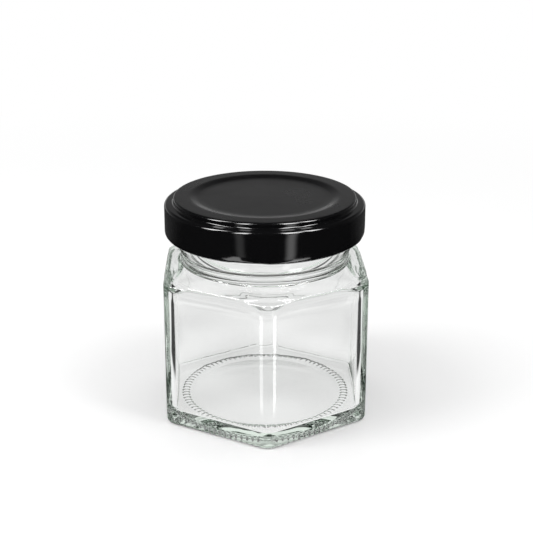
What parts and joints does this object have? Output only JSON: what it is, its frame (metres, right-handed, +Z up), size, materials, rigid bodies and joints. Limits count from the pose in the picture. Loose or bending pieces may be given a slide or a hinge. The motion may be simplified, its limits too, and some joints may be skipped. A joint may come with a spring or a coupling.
{
  "type": "hexagonal glass jar with lid",
  "caption": "Small hexagonal clear glass jar with a round neck and a black screw-on lug lid, empty, for preserves, honey or spices.",
  "frame": {"origin": "middle of the base, on the surface the jar stands on", "axes": "+Z up through the middle of the lid; a corner of the hexagon points towards -Y and a flat face towards +X"},
  "size_m": [0.0464, 0.0522, 0.0509],
  "materials": {
    "clear_glass": "clear flint glass with a faint green edge",
    "black_lacquer": "glossy black stoving lacquer on tinplate",
    "sealing_compound": "matt off-white sealing compound"
  },
  "bodies": {
    "root": {"glass_jar": "clear_glass", "lid": "black_lacquer", "lid_liner": "sealing_compound"}
  },
  "joints": []
}
